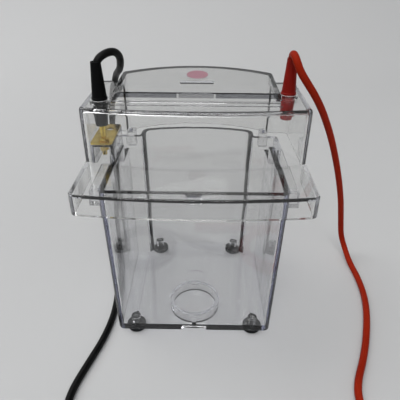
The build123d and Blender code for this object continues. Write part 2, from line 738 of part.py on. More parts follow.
def full_route(name, points):
    """A route with its ends: straight out of the boot, and straight into the coil."""
    x, y = jack_place(name)
    out = [(x, y, BOOT_TOP - depth[name]) for depth in (LEAD_DEPTH, LEAD_BEND_DEPTH)]
    ends = (COIL_MOUTH_Y + COIL_APPROACH[name], COIL_MOUTH_Y)
    return out + points + [(COIL_ENTRY_X[name], y_end, LEAD_RADIUS) for y_end in ends]


def route_radii(points):
    """The largest tangent arc at each corner of a route, by its share of the shorter run."""
    radii = []
    for before, here, after in zip(points, points[1:], points[2:]):
        into = Vector(*here) - Vector(*before)
        out = Vector(*after) - Vector(*here)
        half_turn = math.radians(into.get_angle(out)) / 2
        shorter = min(into.length, out.length)
        radii.append(ARC_RUN_SHARE * shorter / math.tan(half_turn))
    return radii


def make_lead(name, route):
    """The stretch of lead that isn't coiled: straight runs joined by tangent arcs."""
    points = full_route(name, route)
    radii = route_radii(points)
    path = FilletPolyline(*points, radius=radii)
    start = Plane(origin=points[0], z_dir=Vector(*points[1]) - Vector(*points[0]))
    tube = sweep(start * Circle(LEAD_RADIUS), path=path)
    expected = math.pi * LEAD_RADIUS**2 * path.length
    print(name, "length", round(path.length, 1), "radii", [round(r, 1) for r in radii])
    print(name, "volume over section times length", round(tube.volume / expected, 4))
    return tube


def coil_heights():
    """Axis heights of the coil's two layers: side by side below, one turn in between above."""
    return LEAD_RADIUS, LEAD_RADIUS + LEAD_DIAMETER * math.sin(math.radians(60))


def coil_exit_plane(name):
    """The plane at the end of the coil's last turn; its X runs out along the lead."""
    turn_radius = COIL_INNER_TURN[name] + LEAD_RADIUS
    heading = COIL_EXIT_HEADING[name]
    away = math.radians(heading + 90 * COIL_SIDE[name])
    x, y = coil_centre(name)
    origin = (x + turn_radius * math.cos(away), y + turn_radius * math.sin(away), 0)
    direction = (math.cos(math.radians(heading)), math.sin(math.radians(heading)), 0)
    return Plane(origin=origin, x_dir=direction, z_dir=(0, 0, 1))


def make_lead_coil(name):
    """The put-away length: a flat coil of some two turns, with the lead in and the lead out."""
    inner = COIL_INNER_TURN[name] - LEAD_RADIUS
    outer = coil_outer_turn(name) + LEAD_RADIUS
    low, high = coil_heights()
    top = high + LEAD_RADIUS
    cut = COIL_SHAPE_CHAMFER
    ring = turned(
        [
            (inner + cut, 0),
            (outer - cut, 0),
            (outer, cut),
            (outer, LEAD_DIAMETER - cut),
            (outer - LEAD_RADIUS - cut / 2, top),
            (inner + LEAD_RADIUS + cut / 2, top),
            (inner, LEAD_DIAMETER - cut),
            (inner, cut),
        ]
    )
    coil = Pos(*coil_centre(name), 0) * ring
    entry = Plane(origin=(COIL_ENTRY_X[name], COIL_CENTRE_Y, low), z_dir=(0, 1, 0))
    coil += extrude(entry * Circle(LEAD_RADIUS), COIL_ENTRY)
    plane = coil_exit_plane(name)
    start = plane.from_local_coords(Vector(0, 0, high))
    end = plane.from_local_coords(Vector(COIL_EXIT, 0, PLUG_RADIUS))
    run = end - start
    section = Plane(origin=start, z_dir=run) * Circle(LEAD_RADIUS)
    stub = extrude(section, run.length + LEAD_RADIUS)
    keep = plane * block((-COIL_EXIT, COIL_EXIT), (-COIL_EXIT, COIL_EXIT), (0, 4 * LEAD_DIAMETER))
    return coil + (stub & keep)


def plug_axis(name):
    """The plug's own axis as a plane: it points along the plug, from the coil's lead-out."""
    plane = coil_exit_plane(name)
    origin = plane.from_local_coords(Vector(COIL_EXIT, 0, PLUG_RADIUS))
    return Plane(origin=origin, x_dir=(0, 0, 1), z_dir=plane.x_dir)


def make_plug_relief(name):
    """The plug's tapered strain relief."""
    relief = turned(
        [
            (0, 0),
            (PLUG_RELIEF_TIP, 0),
            (PLUG_RELIEF_ROOT, PLUG_RELIEF_LENGTH),
            (0, PLUG_RELIEF_LENGTH),
        ]
    )
    return plug_axis(name) * relief


def make_plug_body(name):
    """The plug's body with its grip grooves and the fixed shroud round the pin."""
    low = PLUG_RELIEF_LENGTH
    shroud = low + PLUG_BODY_LENGTH
    end = shroud + PLUG_SHROUD_LENGTH
    seat = shroud - PLUG_PIN_SEAT
    body = turned(
        [
            (0, low),
            (PLUG_RADIUS - PLUG_BEVEL, low),
            (PLUG_RADIUS, low + PLUG_BEVEL),
            (PLUG_RADIUS, shroud - PLUG_BEVEL),
            (PLUG_SHROUD_RADIUS, shroud),
            (PLUG_SHROUD_RADIUS, end),
            (PLUG_SHROUD_BORE, end),
            (PLUG_SHROUD_BORE, shroud),
            (PLUG_PIN_RADIUS + CONTACT_CLEARANCE, shroud),
            (PLUG_PIN_RADIUS + CONTACT_CLEARANCE, seat),
            (0, seat),
        ]
    )
    for index in range(PLUG_GRIP_GROOVES):
        z = low + PLUG_GRIP_START + index * PLUG_GRIP_PITCH
        groove = turned(
            [
                (PLUG_RADIUS - PLUG_GRIP_DEPTH, z),
                (PLUG_RADIUS + OVERRUN, z),
                (PLUG_RADIUS + OVERRUN, z + PLUG_GRIP_PITCH / 2),
                (PLUG_RADIUS - PLUG_GRIP_DEPTH, z + PLUG_GRIP_PITCH / 2),
            ]
        )
        body -= groove
    return plug_axis(name) * body


def make_plug_pin(name):
    """The plug's 4 mm pin, seated in the body and ending inside the shroud."""
    shroud = PLUG_RELIEF_LENGTH + PLUG_BODY_LENGTH
    tip = shroud + PLUG_PIN_LENGTH
    pin = turned(
        [
            (0, shroud - PLUG_PIN_SEAT),
            (PLUG_PIN_RADIUS, shroud - PLUG_PIN_SEAT),
            (PLUG_PIN_RADIUS, tip - PLUG_PIN_TIP),
            (PLUG_PIN_RADIUS / 2, tip),
            (0, tip),
        ]
    )
    return plug_axis(name) * pin


def write(name, solid):
    """Write one piece as its own file."""
    export_step(solid, f"parts/{name}.step")


os.makedirs("parts", exist_ok=True)
write("buffer_chamber", make_buffer_chamber())
for foot_name, (foot_x, foot_y) in foot_places().items():
    write(foot_name, make_foot(foot_x, foot_y))
write("contact_plate", make_contact_plate())
write("contact_pin", make_contact_pin())
write("contact_washer", make_contact_washer())
write("contact_nut", make_contact_nut())
write("lid_shell", make_lid_shell())
for colour, route in (("black", BLACK_ROUTE), ("red", RED_ROUTE)):
    jack_x, jack_y = jack_place(colour)
    write(f"{colour}_jack_body", make_jack_body(jack_x, jack_y))
    write(f"{colour}_jack_contact", make_jack_contact(jack_x, jack_y))
    write(f"{colour}_boot", make_boot(colour, jack_x, jack_y))
    write(f"{colour}_lead", make_lead(colour, route))
    write(f"{colour}_lead_coil", make_lead_coil(colour))
    write(f"{colour}_plug_relief", make_plug_relief(colour))
    write(f"{colour}_plug_body", make_plug_body(colour))
    write(f"{colour}_plug_pin", make_plug_pin(colour))
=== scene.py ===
# %% [markdown]
# # A mini gel electrophoresis cell, finished in Blender
#
# The real object is a clear tank on rubber feet with a clear safety lid. Two power leads leave the
# lid, one black and one red. Its parts come from a CAD model, so every size is already right. What
# is left for Blender is how things look: clear plastic with tinted edges, gold contacts, soft rubber
# and two leads that lie as real leads do. We load the CAD model as a fixed frame and work in metres.

import json
import math

import bmesh
import bpy
from mathutils import Matrix, Vector


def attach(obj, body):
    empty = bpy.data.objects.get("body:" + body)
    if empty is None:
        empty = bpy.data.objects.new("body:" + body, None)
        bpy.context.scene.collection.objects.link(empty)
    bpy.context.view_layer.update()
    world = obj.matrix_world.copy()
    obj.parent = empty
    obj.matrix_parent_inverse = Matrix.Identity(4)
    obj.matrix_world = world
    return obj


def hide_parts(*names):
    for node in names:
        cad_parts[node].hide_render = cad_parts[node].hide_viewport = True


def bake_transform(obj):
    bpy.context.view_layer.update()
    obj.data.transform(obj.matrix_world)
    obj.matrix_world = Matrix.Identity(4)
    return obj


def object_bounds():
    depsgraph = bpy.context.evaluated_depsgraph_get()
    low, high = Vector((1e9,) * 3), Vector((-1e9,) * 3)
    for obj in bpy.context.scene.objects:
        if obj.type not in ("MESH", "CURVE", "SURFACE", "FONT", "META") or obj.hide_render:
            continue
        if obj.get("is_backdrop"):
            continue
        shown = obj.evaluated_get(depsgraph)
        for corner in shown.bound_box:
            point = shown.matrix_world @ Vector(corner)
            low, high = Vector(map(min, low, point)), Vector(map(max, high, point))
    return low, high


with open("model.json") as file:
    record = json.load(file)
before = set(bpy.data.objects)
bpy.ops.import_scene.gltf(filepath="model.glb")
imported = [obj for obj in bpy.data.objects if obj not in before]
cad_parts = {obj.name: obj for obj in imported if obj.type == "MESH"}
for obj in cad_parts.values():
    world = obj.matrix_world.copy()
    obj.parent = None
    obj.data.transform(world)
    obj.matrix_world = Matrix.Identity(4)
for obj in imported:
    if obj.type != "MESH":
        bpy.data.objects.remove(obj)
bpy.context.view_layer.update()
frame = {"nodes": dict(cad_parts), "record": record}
scene = bpy.context.scene

# %% [markdown]
# ## The camera
#
# The photograph was taken from in front and above, with a lens of about 38 mm on a 36 mm wide
# sensor. The view leans down by 31 degrees and rolls by half a degree. A camera in Blender looks
# along its own -Z, so a camera with no rotation looks straight down. Turning it about X by 90 minus
# 31 degrees lifts its gaze. The roll is a turn about its own Z before that, and the last turn, about
# the world's Z, faces it to the tank.

# %% Camera
LENS = 37.94
SENSOR_WIDTH = 36.0
CAMERA_PLACE = (0.00549, -0.26589, 0.24067)
CAMERA_LIFT = 58.86
CAMERA_ROLL = 0.48
CAMERA_HEADING = 0.52

camera_data = bpy.data.cameras.new("camera")
camera_data.lens = LENS
camera_data.sensor_width = SENSOR_WIDTH
camera_data.clip_start = 0.01
camera_data.clip_end = 20.0
camera = bpy.data.objects.new("camera", camera_data)
scene.collection.objects.link(camera)
tilt = (
    Matrix.Rotation(math.radians(CAMERA_HEADING), 4, "Z")
    @ Matrix.Rotation(math.radians(CAMERA_LIFT), 4, "X")
    @ Matrix.Rotation(math.radians(CAMERA_ROLL), 4, "Z")
)
camera.matrix_world = Matrix.Translation(CAMERA_PLACE) @ tilt
scene.camera = camera
print("camera at", tuple(round(v, 4) for v in camera.location))

# %% [markdown]
# ## Where the leads go
#
# A lead is a fixed length of something flexible. It leaves its boot straight up, folds over, falls
# to the bench and runs off towards the power supply. We draw that as a NURBS line: a few listed
# control points, which the line rounds off by itself. With order 3 it stays smooth, touches every
# run between two points and never swings outside them. The points are those of the CAD model, in
# metres.

# %% Points of the two leads on their way to the bench
LEAD_DIAMETER = 0.0048
LEAD_RADIUS = LEAD_DIAMETER / 2
BLACK_POINTS = [
    (-0.0605, -0.0070, 0.1735),
    (-0.0605, -0.0070, 0.1783),
    (-0.0589, -0.0058, 0.1818),
    (-0.0558, -0.0032, 0.1840),
    (-0.0522, 0.0008, 0.1848),
    (-0.0497, 0.0056, 0.1832),
    (-0.0489, 0.0110, 0.1789),
    (-0.0502, 0.0175, 0.1736),
    (-0.0530, 0.0275, 0.1676),
    (-0.0570, 0.0400, 0.1628),
    (-0.0612, 0.0530, 0.1576),
    (-0.0656, 0.0610, 0.1455),
    (-0.0693, 0.0637, 0.1260),
    (-0.0725, 0.0645, 0.0980),
    (-0.0750, 0.0640, 0.0620),
    (-0.0765, 0.0610, 0.0320),
    (-0.0755, 0.0520, 0.0105),
    (-0.0715, 0.0335, LEAD_RADIUS),
    (-0.0665, 0.0130, LEAD_RADIUS),
    (-0.0620, -0.0120, LEAD_RADIUS),
    (-0.0602, -0.0380, LEAD_RADIUS),
    (-0.0632, -0.0620, LEAD_RADIUS),
    (-0.0694, -0.0830, LEAD_RADIUS),
    (-0.0750, -0.1030, LEAD_RADIUS),
    (-0.0750, -0.1180, LEAD_RADIUS),
    (-0.0750, -0.1360, LEAD_RADIUS),
]
RED_POINTS = [
    (0.0605, 0.0080, 0.1746),
    (0.0605, 0.0080, 0.1778),
    (0.0600, 0.0069, 0.1816),
    (0.0597, 0.0034, 0.1840),
    (0.0601, -0.0009, 0.1836),
    (0.0613, -0.0041, 0.1804),
    (0.0636, -0.0050, 0.1754),
    (0.0686, -0.0039, 0.1686),
    (0.0758, -0.0008, 0.1594),
    (0.0848, 0.0054, 0.1456),
    (0.0966, 0.0148, 0.1228),
    (0.1089, 0.0248, 0.0926),
    (0.1194, 0.0346, 0.0618),
    (0.1260, 0.0416, 0.0346),
    (0.1294, 0.0436, 0.0189),
    (0.1332, 0.0376, 0.0083),
    (0.1350, 0.0260, LEAD_RADIUS),
    (0.1364, 0.0040, LEAD_RADIUS),
    (0.1346, -0.0200, LEAD_RADIUS),
    (0.1274, -0.0460, LEAD_RADIUS),
    (0.1164, -0.0740, LEAD_RADIUS),
    (0.1030, -0.0990, LEAD_RADIUS),
    (0.1030, -0.1180, LEAD_RADIUS),
    (0.1030, -0.1360, LEAD_RADIUS),
]
print("points by hand:", len(BLACK_POINTS), "black and", len(RED_POINTS), "red")

# %% [markdown]
# ## The spare length, wound up
#
# The photograph ends before the leads do, so the rest of each is put away in a small neat coil on
# the bench, just outside the view. A coil is only more control points of the same line, here one
# every 24 degrees. The line cuts the corners between control points, so they stand a little further
# out than the turn itself. The first turn is the outer one, the next lies inside it, and the last
# part climbs on top and lies in the groove between the two. There it sinks a little below two whole
# diameters, as round things do when they are stacked.

# %% Points of a coil
COIL_Y = -0.146
COIL_STEP = 24
GROOVE_SINK = 0.00064
COIL_TOP = LEAD_RADIUS + LEAD_DIAMETER - GROOVE_SINK
# Each pair is where a change starts and ends, in degrees from the start of the coil.
MOVE_IN = (270, 360)
CLIMB = (530, 610)
MOVE_OVER_GROOVE = (575, 635)
SINK = (725, 770)
# The way out to the plug: how far along it runs, and how high it lies there.
WAY_OUT = ((0.004, COIL_TOP), (0.012, 0.0066), (0.019, 0.0052), (0.0235, 0.0050), (0.027, 0.0050))


def eased(value, span):
    """How far value has gone through the span, from 0 to 1, starting and ending gently."""
    low, high = span
    share = min(1.0, max(0.0, (value - low) / (high - low)))
    return share * share * (3 - 2 * share)


def coil_points(centre_x, inner, start, turning, total, heading):
    """Control points of a coil. Angles are in degrees, and turning is 1 to the left or -1 to the right."""
    points = []
    for gone in range(COIL_STEP // 2, total, COIL_STEP):
        radius = inner + LEAD_DIAMETER * (1 - eased(gone, MOVE_IN))
        radius += LEAD_RADIUS * eased(gone, MOVE_OVER_GROOVE)
        height = LEAD_RADIUS + LEAD_DIAMETER * eased(gone, CLIMB) - GROOVE_SINK * eased(gone, SINK)
        reach = radius / math.cos(math.radians(COIL_STEP / 2))
        angle = math.radians(start + turning * gone)
        points.append((centre_x + reach * math.cos(angle), COIL_Y + reach * math.sin(angle), height))
    away = math.radians(start + turning * total)
    along = math.radians(heading)
    x = centre_x + (inner + LEAD_RADIUS) * math.cos(away)
    y = COIL_Y + (inner + LEAD_RADIUS) * math.sin(away)
    for run, height in WAY_OUT:
        points.append((x + run * math.cos(along), y + run * math.sin(along), height))
    return points


BLACK_POINTS += coil_points(centre_x=-0.0474, inner=0.0228, start=180, turning=1, total=835, heading=25)
RED_POINTS += coil_points(centre_x=0.0718, inner=0.0264, start=0, turning=-1, total=810, heading=180)
print("points in all:", len(BLACK_POINTS), "black and", len(RED_POINTS), "red")

# %% [markdown]
# ## From a line to a tube
#
# A curve with a bevel depth draws itself as a tube. We turn that tube into a mesh. The same curve
# without a bevel gives the points of its own centre line, which we keep as the path that the tube
# follows.

# %% Make a lead
CURVE_DETAIL = 6


def lead_curve(name, points, radius):
    """A NURBS curve through the pull of these points. Its order is set after the points are in."""
    data = bpy.data.curves.new(name, "CURVE")
    data.dimensions = "3D"
    data.resolution_u = CURVE_DETAIL
    data.bevel_depth = radius
    data.bevel_resolution = CURVE_DETAIL
    data.use_fill_caps = True
    spline = data.splines.new("NURBS")
    spline.points.add(len(points) - 1)
    for point, place in zip(spline.points, points):
        point.co = (*place, 1.0)
    spline.order_u = 3
    spline.use_endpoint_u = True
    return bpy.data.objects.new(name, data)


def as_mesh(curve):
    """The mesh that Blender draws for a curve."""
    scene.collection.objects.link(curve)
    bpy.context.view_layer.update()
    mesh = bpy.data.meshes.new_from_object(curve.evaluated_get(bpy.context.evaluated_depsgraph_get()))
    bpy.data.objects.remove(curve)
    return mesh


def make_lead(name, points):
    """The lead's tube as a mesh piece, the points of its centre line, and its length."""
    path = [vertex.co.copy() for vertex in as_mesh(lead_curve(name + "_line", points, 0.0)).vertices]
    mesh = as_mesh(lead_curve(name, points, LEAD_RADIUS))
    mesh.name = name
    mesh.polygons.foreach_set("use_smooth", [True] * len(mesh.polygons))
    lead = bpy.data.objects.new(name, mesh)
    scene.collection.objects.link(lead)
    length = sum((b - a).length for a, b in zip(path, path[1:]))
    print(name, "is", round(length, 3), "m long, with", len(mesh.polygons), "faces")
    return lead, path, length


# %% [markdown]
# ## The two leads
#
# Each lead stands for two CAD solids, its plain tube and its plain coil, which are hidden, and it
# has its plug at the far end.

# %% The two leads
BLACK_EXIT = (-0.0605, -0.0070, 0.1805)
RED_EXIT = (0.0605, 0.0080, 0.1805)

leads = {}
for colour, points, exit_point in (("black", BLACK_POINTS, BLACK_EXIT), ("red", RED_POINTS, RED_EXIT)):
    lead, path, length = make_lead(colour + "_power_lead", points)
    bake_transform(lead)
    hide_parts(colour + "_lead", colour + "_lead_coil")
    leads[colour] = lead
print("leads:", sorted(leads))

# %% [markdown]
# ## Floor and backdrop
#
# A photographer's sweep: a pale sheet that lies on the bench and curves up behind the object, so that
# no corner line shows. A short profile of floor, bend and wall is extruded sideways. It isn't part of
# the object, so it is marked as stage.

# %% Sweep
FLOOR_FRONT = -4.5
FLOOR_BACK = 0.55
BEND = 0.45
BEND_STEPS = 12
WALL_TOP = 2.4
SWEEP_HALF_WIDTH = 9.0

profile = [(FLOOR_FRONT, 0.0), (FLOOR_BACK, 0.0)]
for step in range(1, BEND_STEPS):
    angle = math.radians(90 * step / BEND_STEPS)
    profile.append((FLOOR_BACK + BEND * math.sin(angle), BEND - BEND * math.cos(angle)))
profile += [(FLOOR_BACK + BEND, BEND), (FLOOR_BACK + BEND, WALL_TOP)]

work = bmesh.new()
line = [work.verts.new((-SWEEP_HALF_WIDTH, y, z)) for y, z in profile]
edges = [work.edges.new(pair) for pair in zip(line, line[1:])]
grown = bmesh.ops.extrude_edge_only(work, edges=edges)
moved = [item for item in grown["geom"] if isinstance(item, bmesh.types.BMVert)]
bmesh.ops.translate(work, verts=moved, vec=(2 * SWEEP_HALF_WIDTH, 0, 0))
bmesh.ops.recalc_face_normals(work, faces=work.faces)
sweep_mesh = bpy.data.meshes.new("sweep")
work.to_mesh(sweep_mesh)
work.free()
sweep_mesh.polygons.foreach_set("use_smooth", [True] * len(sweep_mesh.polygons))
sweep = bpy.data.objects.new("sweep", sweep_mesh)
scene.collection.objects.link(sweep)
sweep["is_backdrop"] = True
print("sweep has", len(sweep_mesh.polygons), "faces")

# %% [markdown]
# ## A material is a small net of nodes
#
# Every material here is built the same way: nodes that make a colour, a roughness or a bump, joined
# to one shader. Four helpers keep that short. One starts an empty material, one adds a node and sets
# the numbers on its own sockets, one joins outputs to sockets, and one turns a number into a colour
# between two tones.

# %% Helpers for materials
def new_material(name):
    """An empty node material, with its nodes and its links."""
    material = bpy.data.materials.new(name)
    material.use_nodes = True
    material.node_tree.nodes.clear()
    return material, material.node_tree.nodes, material.node_tree.links


def add_node(nodes, kind, settings=None):
    """A new node, with these numbers and colours set on its sockets."""
    node = nodes.new(kind)
    for socket, value in (settings or {}).items():
        node.inputs[socket].default_value = value
    return node


def join(links, *pairs):
    """Join each pair of an output and a socket."""
    for output, socket in pairs:
        links.new(output, socket)


def two_tones(nodes, links, value, first, second):
    """A colour that goes from the first tone to the second. A tone is a value and its colour."""
    node = nodes.new("ShaderNodeValToRGB")
    for element, (position, colour) in zip(node.color_ramp.elements, (first, second)):
        element.position = position
        element.color = (*colour, 1)
    links.new(value, node.inputs["Fac"])
    return node.outputs["Color"]


print("helpers: new_material, add_node, join and two_tones")

# %% [markdown]
# ## The sweep's paper
#
# Matt pale grey, with painted shade that makes it a touch darker in a wide round patch about the
# tank. A Mapping node moves the middle of the round gradient behind the tank, because the gradient
# itself is always centred on the origin.

# %% Paper
SHADE_PATCH_SHIFT = (0.04, -0.10, 0)
PAPER_AWAY = (0.58, 0.582, 0.582)
PAPER_PAINTED_SHADE = (0.50, 0.502, 0.502)

paper, nodes, links = new_material("pale_bench_and_wall")
place = add_node(nodes, "ShaderNodeTexCoord")
centre = add_node(nodes, "ShaderNodeMapping", {"Location": SHADE_PATCH_SHIFT})
painted_shade_patch = add_node(nodes, "ShaderNodeTexGradient")
painted_shade_patch.gradient_type = "QUADRATIC_SPHERE"
shader = add_node(nodes, "ShaderNodeBsdfPrincipled", {"Roughness": 0.85, "Specular IOR Level": 0.2})
out = add_node(nodes, "ShaderNodeOutputMaterial")
tone = two_tones(nodes, links, painted_shade_patch.outputs["Color"], (0.0, PAPER_AWAY), (1.0, PAPER_PAINTED_SHADE))
join(
    links,
    (place.outputs["Object"], centre.inputs["Vector"]),
    (centre.outputs["Vector"], painted_shade_patch.inputs["Vector"]),
    (tone, shader.inputs["Base Color"]),
    (shader.outputs["BSDF"], out.inputs["Surface"]),
)
sweep_mesh.materials.append(paper)
print("paper has", len(nodes), "nodes")

# %% [markdown]
# ## Light
#
# A wide lamp high behind the tank on the left stands in for a window and gives soft shadows towards
# the front. A smaller one in front fills them a little. Light by itself wouldn't show clear plastic:
# we see it by what it bends and reflects, so there has to be something darker and something paler
# round it. The lamps and the paper see to most of that.

# %% Lamps
TANK_MIDDLE = (0, 0, 0.05)


def soft_lamp(name, place, size, power):
    """A square area lamp that faces the tank."""
    data = bpy.data.lights.new(name, "AREA")
    data.shape = "SQUARE"
    data.size = size
    data.energy = power
    lamp = bpy.data.objects.new(name, data)
    scene.collection.objects.link(lamp)
    lamp.location = place
    facing = Vector(TANK_MIDDLE) - Vector(place)
    lamp.rotation_euler = facing.to_track_quat("-Z", "Y").to_euler()
    return lamp


lamps = [
    soft_lamp("window", place=(-1.00, 0.85, 1.75), size=2.0, power=38),
    soft_lamp("front_fill", place=(-0.15, -1.2, 1.75), size=1.1, power=17),
]
print("lamps:", [lamp.name for lamp in lamps])

# %% [markdown]
# ## The room
#
# The world is the room beyond the sweep. On matt surfaces it falls as a dim grey light, brighter from
# above and from behind, which keeps the shadows soft. The camera, gloss and glass look at a paler
# wall instead, so that plastic and metal show the same pale room that the picture shows. Light Path
# tells which kind of ray is asking. Two more helpers come first: one lets a number go from a start to
# an end over a span, and the other does sums with numbers.

# %% Helpers for numbers
def between(nodes, links, value, span, start=0.0, end=1.0):
    """A node output that goes from start to end while a value goes through a span."""
    low, high = span
    settings = {"From Min": low, "From Max": high, "To Min": start, "To Max": end}
    node = add_node(nodes, "ShaderNodeMapRange", settings)
    links.new(value, node.inputs["Value"])
    return node.outputs["Result"]


def combine(nodes, links, operation, *values):
    """The output of a maths node on one or two outputs."""
    node = nodes.new("ShaderNodeMath")
    node.operation = operation
    for socket, value in zip(node.inputs, values):
        links.new(value, socket)
    return node.outputs["Value"]


print("helpers: between and combine")

# %% World
ROOM_LOW = (0.34, 0.345, 0.36)
ROOM_HIGH = (0.42, 0.425, 0.43)
ROOM_HIGH_FROM = 0.8
ROOM_FRONT = 0.85
ROOM_BEHIND = 1.15
PALE_WALL = (0.52, 0.52, 0.525, 1)

world = bpy.data.worlds.new("room")
scene.world = world
world.use_nodes = True
nodes, links = world.node_tree.nodes, world.node_tree.links
nodes.clear()
direction = add_node(nodes, "ShaderNodeTexCoord")
parts = add_node(nodes, "ShaderNodeSeparateXYZ")
room = add_node(nodes, "ShaderNodeBackground")
pale = add_node(nodes, "ShaderNodeBackground", {"Color": PALE_WALL})
ray = add_node(nodes, "ShaderNodeLightPath")
choice = add_node(nodes, "ShaderNodeMixShader")
out = add_node(nodes, "ShaderNodeOutputWorld")
links.new(direction.outputs["Generated"], parts.inputs["Vector"])
upward, backward = parts.outputs["Z"], parts.outputs["Y"]
looking = ray.outputs["Is Camera Ray"]
for kind in ("Is Glossy Ray", "Is Transmission Ray"):
    looking = combine(nodes, links, "MAXIMUM", looking, ray.outputs[kind])
room_tone = two_tones(nodes, links, upward, (0.0, ROOM_LOW), (ROOM_HIGH_FROM, ROOM_HIGH))
join(
    links,
    (room_tone, room.inputs["Color"]),
    (between(nodes, links, backward, (-1.0, 1.0), ROOM_FRONT, ROOM_BEHIND), room.inputs["Strength"]),
    (looking, choice.inputs["Fac"]),
    (room.outputs["Background"], choice.inputs[1]),
    (pale.outputs["Background"], choice.inputs[2]),
    (choice.outputs["Shader"], out.inputs["Surface"]),
)
print("world has", len(nodes), "nodes")

# %% [markdown]
# ## How far light may travel
#
# A ray may cross several walls of the lid and the tank on its way, and it's thrown back and forth
# inside each of them. Every surface that it meets counts as a bounce. A ray that has used up its
# bounces brings back no light, so clear plastic is given many more than the usual dozen.

# %% Bounces
scene.view_settings.view_transform = "Standard"
scene.cycles.max_bounces = 64
scene.cycles.transmission_bounces = 64
scene.cycles.transparent_max_bounces = 32
scene.cycles.use_denoising = True
print("bounces:", scene.cycles.max_bounces)

# %% [markdown]
# ## Painted shade on two faces
#
# Two narrow faces of the real cell look darker than the rest: the slanted near side of the raised
# deck, and the flat top of the tank's walls, where light comes out after a long way inside the
# plastic. Modelled walls alone come out too pale there, so these two faces get painted shade: a
# darker base colour in place of the shade that the bent light gives them.
# Light that passes a surface is tinted by about the square root of its base colour, so these shades
# are darker than they look. A mask finds a face by its place on the piece. It multiplies soft steps
# on the Object coordinates, each of them 1 inside one border of the face and 0 outside it.

# %% Painted shade on the slanted step of the lid's deck
STEP_BOTTOM = (0.1552, 0.1556)
STEP_NEAR_EDGE = (0.0008, 0.0014)
STEP_FAR_EDGE = (0.0046, 0.0052)
STEP_END = (0.0520, 0.0530)
# The middle is painted paler, and two ticks at its ends are painted highlights.
MIDDLE_END = (0.0112, 0.0116)
HIGHLIGHT_TICK_END = (0.0124, 0.0128)
PALER_MIDDLE_SHARE = 0.84
HIGHLIGHT_TICK_SHARE = 0.3


def parts_of(nodes, links, place):
    """How far a point of the piece lies to the side of the middle, how far back, and how high."""
    parts = add_node(nodes, "ShaderNodeSeparateXYZ")
    links.new(place.outputs["Object"], parts.inputs["Vector"])
    aside = combine(nodes, links, "ABSOLUTE", parts.outputs["X"])
    return aside, parts.outputs["Y"], parts.outputs["Z"]


def product(nodes, links, first, *others):
    """All these outputs multiplied together."""
    for other in others:
        first = combine(nodes, links, "MULTIPLY", first, other)
    return first


def step_painted_shade_mask(nodes, links, place):
    """Painted shade: 1 on the deck's slanted near side and 0 elsewhere, paler in the middle, between two
    highlight ticks.
    """
    aside, back, height = parts_of(nodes, links, place)
    middle = between(nodes, links, aside, MIDDLE_END, PALER_MIDDLE_SHARE, HIGHLIGHT_TICK_SHARE)
    outside = between(nodes, links, aside, HIGHLIGHT_TICK_END)
    return product(
        nodes,
        links,
        between(nodes, links, height, STEP_BOTTOM),
        between(nodes, links, back, STEP_NEAR_EDGE),
        between(nodes, links, back, STEP_FAR_EDGE, 1.0, 0.0),
        between(nodes, links, aside, STEP_END, 1.0, 0.0),
        combine(nodes, links, "MAXIMUM", middle, outside),
    )


print("the step is", round(1000 * (STEP_FAR_EDGE[1] - STEP_NEAR_EDGE[0]), 1), "mm wide")

# %% Painted shade on the top of the tank's walls
RIM_FROM = (0.11590, 0.11595)
RIM_TO = (0.11605, 0.11610)
RIM_END = (0.0562, 0.0564)
TAB_BACK = (-0.0566, -0.0564)
# The top of the walls gets this share of the tab's painted shade.
WALL_SHARE = 0.9


def rim_painted_shade_mask(nodes, links, place):
    """Painted shade: nearly 1 on the top face of the tank's walls, 1 on the tab in front of it, 0 elsewhere.
    """
    aside, back, height = parts_of(nodes, links, place)
    return product(
        nodes,
        links,
        between(nodes, links, height, RIM_FROM),
        between(nodes, links, height, RIM_TO, 1.0, 0.0),
        between(nodes, links, aside, RIM_END, 1.0, 0.0),
        between(nodes, links, back, TAB_BACK, 1.0, WALL_SHARE),
    )


print("the rim is at", round(1000 * (RIM_FROM[1] + RIM_TO[0]) / 2, 1), "mm")

# %% [markdown]
# ## Clear plastic
#
# A wall of clear plastic looks nearly invisible face on, but along an edge the light travels a long
# way inside and comes out tinted. That is absorption, a volume effect, so the same material gives
# clear walls and violet-grey edges. Polycarbonate has an index of refraction of 1.585. We take 1.49,
# because the lines at its edges then come nearer to the real ones. Rays that only ask whether a lamp
# is in sight pass straight through, as light does through a thin wall. Moulded walls are never quite
# flat, so a wide and very shallow noise makes them ripple.

# %% Clear plastic material
CLEAR = (0.92, 0.92, 0.91, 1)
CLEAR_SURFACE = {"Roughness": 0.012, "IOR": 1.49, "Transmission Weight": 0.995}
PASSES_SHADOW_RAYS = (0.88, 0.88, 0.88, 1)
RIPPLE_SCALE = (90, 90, 12)
RIPPLE_DEPTH = 0.0006
# A Mix node has a set of sockets for each kind of data, with the same names, so these go by number.
MIX_FACTOR, MIX_FIRST, MIX_SECOND, MIX_COLOUR = 0, 6, 7, 2


